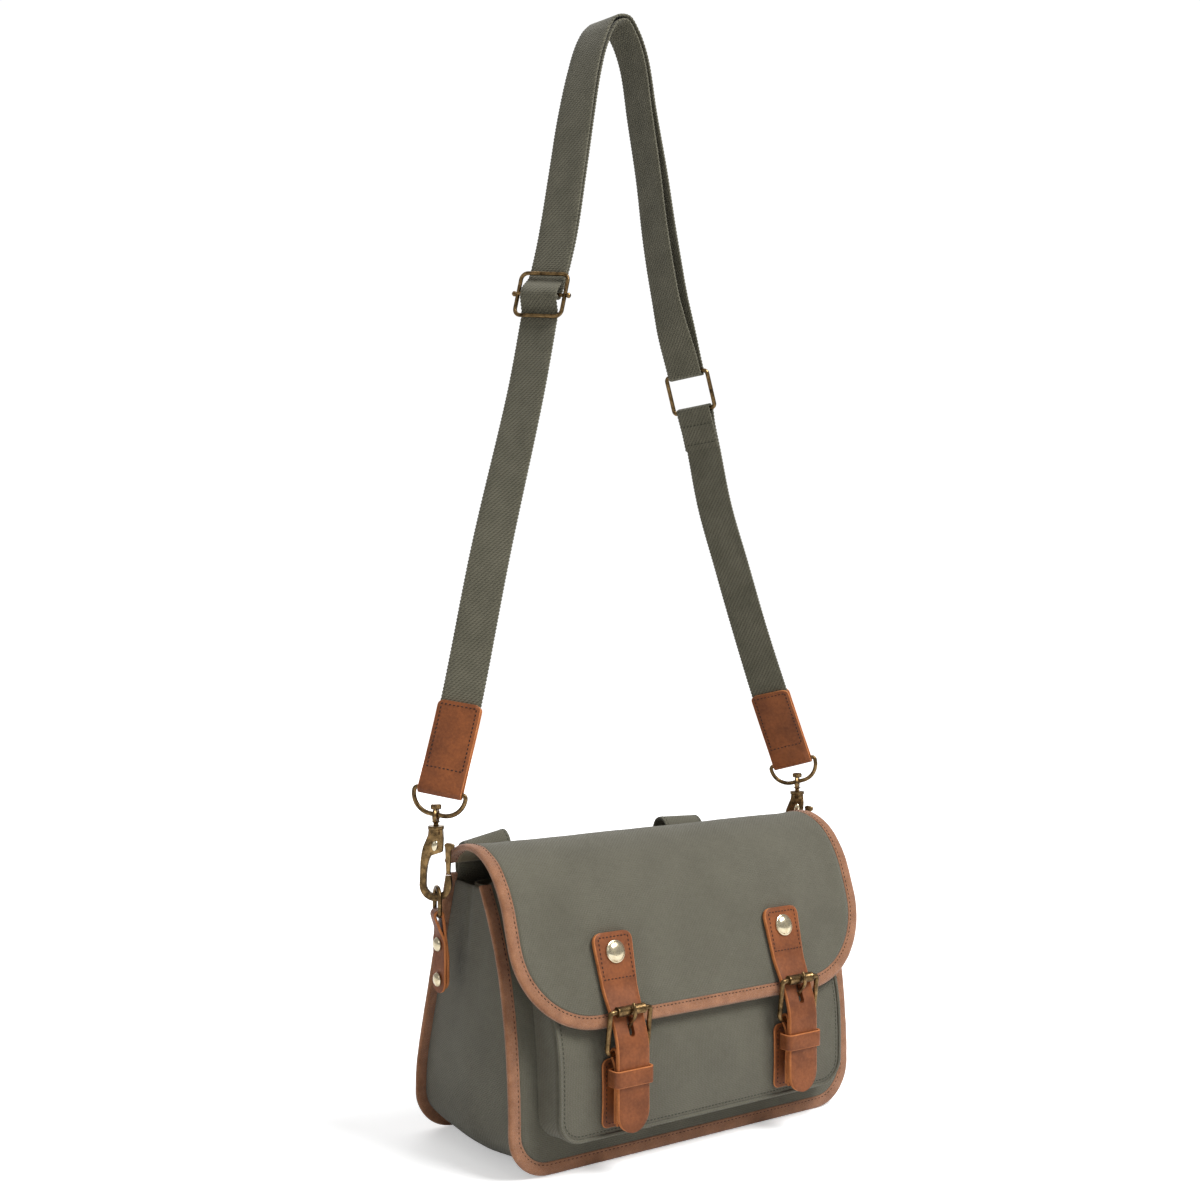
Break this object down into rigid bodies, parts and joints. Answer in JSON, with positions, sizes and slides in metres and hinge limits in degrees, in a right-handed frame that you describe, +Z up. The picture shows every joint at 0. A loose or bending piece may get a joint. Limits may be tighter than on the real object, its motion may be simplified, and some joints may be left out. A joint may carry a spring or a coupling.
{
  "type": "messenger bag",
  "caption": "Canvas satchel with a curved flap, two buckled closure straps, a front pocket, leather bindings and a raised adjustable shoulder strap on swivel hooks",
  "frame": {"origin": "on the surface the bag stands on, under the middle of the bounding box of the bag with its strap raised", "axes": "+Z up, the way the strap rises; -Y out of the bag's front, where the flap and buckles are; +X to the right when facing the front"},
  "size_m": [0.3594, 0.1644, 0.8141],
  "materials": {
    "canvas": "waxed grey-olive cotton canvas, matt with a faint sheen",
    "lining_cloth": "plain khaki lining cloth, matt",
    "webbing": "coarse grey-olive cotton twill webbing, matt",
    "suede": "dusty tan suede seam binding, napped and matt",
    "saddle_leather": "saddle brown leather, semi-matt, raw lighter edges",
    "brass": "antiqued brass, dark in the hollows and bright on the edges",
    "pale_brass": "polished pale brass",
    "magnet_steel": "satin plated steel"
  },
  "bodies": {
    "body": {"front_panel": "canvas", "back_panel": "canvas", "gusset": "canvas", "lining": "lining_cloth", "front_binding": "suede", "back_binding": "suede", "pocket_face": "canvas", "pocket_gusset": "canvas", "pocket_patch_left": "saddle_leather", "pocket_patch_right": "saddle_leather", "magnet_socket_left": "magnet_steel", "magnet_socket_right": "magnet_steel", "side_tab_left": "saddle_leather", "side_tab_right": "saddle_leather", "side_rivet_upper_left": "pale_brass", "side_rivet_upper_right": "pale_brass", "side_rivet_lower_left": "pale_brass", "side_rivet_lower_right": "pale_brass", "back_loop_left": "canvas", "back_loop_right": "canvas"},
    "flap": {"flap_panel": "canvas", "flap_lining": "lining_cloth", "flap_binding": "suede", "closure_strap_left": "saddle_leather", "closure_strap_right": "saddle_leather", "closure_rivet_left": "pale_brass", "closure_rivet_right": "pale_brass", "buckle_frame_left": "brass", "buckle_frame_right": "brass", "buckle_anchor_left": "saddle_leather", "buckle_anchor_right": "saddle_leather", "keeper_left": "saddle_leather", "keeper_right": "saddle_leather", "magnet_stud_left": "magnet_steel", "magnet_stud_right": "magnet_steel"},
    "shoulder_strap": {"long_webbing": "webbing", "short_webbing": "webbing", "slider_frame": "brass", "slider_bar": "brass", "strap_slide_ring": "brass", "strap_end_left": "saddle_leather", "strap_end_right": "saddle_leather", "strap_ring_left": "brass", "strap_ring_right": "brass", "hook_eye_left": "brass", "hook_eye_right": "brass"},
    "roller_left": {"buckle_roller_left": "brass"},
    "prong_left": {"buckle_prong_left": "brass"},
    "ring_left": {"side_ring_left": "brass"},
    "hook_left": {"hook_body_left": "brass"},
    "gate_left": {"hook_gate_left": "brass"},
    "roller_right": {"buckle_roller_right": "brass"},
    "prong_right": {"buckle_prong_right": "brass"},
    "ring_right": {"side_ring_right": "brass"},
    "hook_right": {"hook_body_right": "brass"},
    "gate_right": {"hook_gate_right": "brass"}
  },
  "joints": [
    {"name": "flap_hinge", "type": "hinge", "parent": "body", "child": "flap", "pos_m": [0.00069, 0.03419, 0.2012], "axis": [-1, 0, 0], "range_deg": [0, 32]},
    {"name": "strap_swing", "type": "hinge", "parent": "body", "child": "shoulder_strap", "pos_m": [0.00069, 0.02519, 0.186], "axis": [-0.9999, -0.0119, 0], "range_deg": [-8, 18]},
    {"name": "hook_swivel_left", "type": "hinge", "parent": "shoulder_strap", "child": "hook_left", "pos_m": [-0.16731, 0.02319, 0.23], "axis": [0, 0, 1], "range_deg": [-4, 4]},
    {"name": "hook_gate_left", "type": "hinge", "parent": "hook_left", "child": "gate_left", "pos_m": [-0.16095, 0.01785, 0.2145], "axis": [0.6429, 0.7659, 0], "range_deg": [0, 20], "stiffness_Nm_per_rad": 0.03, "springref_deg": -11.46},
    {"name": "side_ring_left", "type": "hinge", "parent": "body", "child": "ring_left", "pos_m": [-0.16631, 0.02319, 0.1675], "axis": [0.309, 0.9511, 0], "range_deg": [-2.5, 2.5]},
    {"name": "buckle_roller_left", "type": "hinge", "parent": "flap", "child": "roller_left", "pos_m": [-0.07531, -0.07571, 0.1094], "axis": [1, 0, 0], "continuous": true},
    {"name": "buckle_prong_left", "type": "hinge", "parent": "flap", "child": "prong_left", "pos_m": [-0.07531, -0.07211, 0.081], "axis": [1, 0, 0], "range_deg": [0, 6]},
    {"name": "hook_swivel_right", "type": "hinge", "parent": "shoulder_strap", "child": "hook_right", "pos_m": [0.16869, 0.02719, 0.23], "axis": [0, 0, 1], "range_deg": [-4, 4]},
    {"name": "hook_gate_right", "type": "hinge", "parent": "hook_right", "child": "gate_right", "pos_m": [0.17505, 0.02185, 0.2145], "axis": [0.6429, 0.7659, 0], "range_deg": [0, 20], "stiffness_Nm_per_rad": 0.03, "springref_deg": -11.46},
    {"name": "side_ring_right", "type": "hinge", "parent": "body", "child": "ring_right", "pos_m": [0.16769, 0.02719, 0.1675], "axis": [0.309, 0.9511, 0], "range_deg": [-2.5, 2.5]},
    {"name": "buckle_roller_right", "type": "hinge", "parent": "flap", "child": "roller_right", "pos_m": [0.07669, -0.07571, 0.1094], "axis": [1, 0, 0], "continuous": true},
    {"name": "buckle_prong_right", "type": "hinge", "parent": "flap", "child": "prong_right", "pos_m": [0.07669, -0.07211, 0.081], "axis": [1, 0, 0], "range_deg": [0, 6]}
  ]
}
